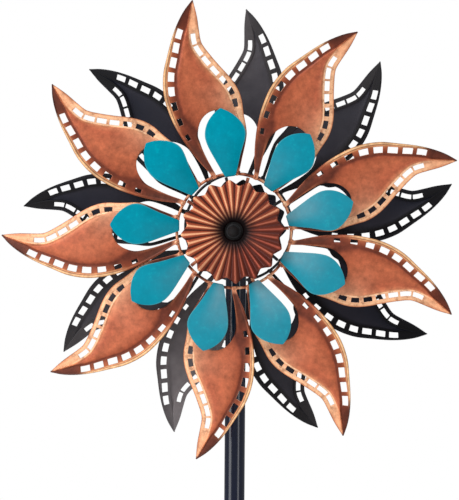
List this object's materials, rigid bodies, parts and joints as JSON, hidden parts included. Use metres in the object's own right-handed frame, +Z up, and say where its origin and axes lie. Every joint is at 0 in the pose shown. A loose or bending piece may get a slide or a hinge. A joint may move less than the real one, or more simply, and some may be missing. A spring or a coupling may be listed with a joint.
{
  "type": "kinetic wind spinner",
  "caption": "Tall garden wind spinner: two flower-shaped metal petal wheels that turn opposite ways on one axle, on a pole with a pronged ground stake.",
  "frame": {"origin": "ground level on the pole's axis: the underside of the step bar, where the spike goes through it", "axes": "+Z up along the pole; the front (copper) wheel faces -Y and both wheels turn about Y; the step bar runs along X"},
  "size_m": [0.5538, 0.1534, 2.1349],
  "materials": {
    "copper_sheet": "burnished copper paint on pressed steel sheet, mottled satin, pale rubbed edges",
    "copper_wire": "dark burnished copper paint on steel wire, satin",
    "teal_sheet": "teal enamel with a faint patina, satin",
    "black_sheet": "charcoal powder coat on pressed steel sheet, satin",
    "black_wire": "charcoal powder coat on steel wire, satin",
    "black_tube": "blue-black powder coat on steel tube, semi-gloss",
    "black_fittings": "black powder coat, satin",
    "bare_steel": "zinc-bright turned steel"
  },
  "bodies": {
    "stand": {"stake_spike": "black_tube", "step_bar": "black_tube", "left_prong": "black_tube", "right_prong": "black_tube", "lower_pole": "black_tube", "middle_pole": "black_tube", "upper_pole": "black_tube", "stake_screw": "black_fittings", "lower_joint_screw": "black_fittings", "upper_joint_screw": "black_fittings", "head_bracket": "black_fittings", "axle": "bare_steel", "front_spacer": "bare_steel", "rear_spacer": "bare_steel", "front_washer": "black_fittings", "rear_washer": "black_fittings", "front_cap_nut": "black_fittings", "rear_cap_nut": "black_fittings"},
    "front_wheel": {"front_hub": "black_fittings", "front_spider": "copper_wire", "front_ring": "copper_wire", "front_cup": "copper_sheet", "front_outer_bearing": "bare_steel", "front_inner_bearing": "bare_steel", "copper_petal_1": "copper_sheet", "copper_petal_2": "copper_sheet", "copper_petal_3": "copper_sheet", "copper_petal_4": "copper_sheet", "copper_petal_5": "copper_sheet", "copper_petal_6": "copper_sheet", "copper_petal_7": "copper_sheet", "copper_petal_8": "copper_sheet", "copper_petal_9": "copper_sheet", "teal_blade_1": "teal_sheet", "teal_blade_2": "teal_sheet", "teal_blade_3": "teal_sheet", "teal_blade_4": "teal_sheet", "teal_blade_5": "teal_sheet", "teal_blade_6": "teal_sheet", "teal_blade_7": "teal_sheet", "teal_blade_8": "teal_sheet", "teal_blade_9": "teal_sheet"},
    "rear_wheel": {"rear_hub": "black_fittings", "rear_spider": "black_wire", "rear_ring": "black_wire", "rear_cup": "black_sheet", "rear_outer_bearing": "bare_steel", "rear_inner_bearing": "bare_steel", "black_petal_1": "black_sheet", "black_petal_2": "black_sheet", "black_petal_3": "black_sheet", "black_petal_4": "black_sheet", "black_petal_5": "black_sheet", "black_petal_6": "black_sheet", "black_petal_7": "black_sheet", "black_petal_8": "black_sheet", "black_petal_9": "black_sheet"}
  },
  "joints": [
    {"name": "front_wheel_spin", "type": "hinge", "parent": "stand", "child": "front_wheel", "pos_m": [0, -0.05, 1.625], "axis": [0, -1, 0], "continuous": true},
    {"name": "rear_wheel_spin", "type": "hinge", "parent": "stand", "child": "rear_wheel", "pos_m": [0, 0.05, 1.625], "axis": [0, -1, 0], "continuous": true}
  ]
}
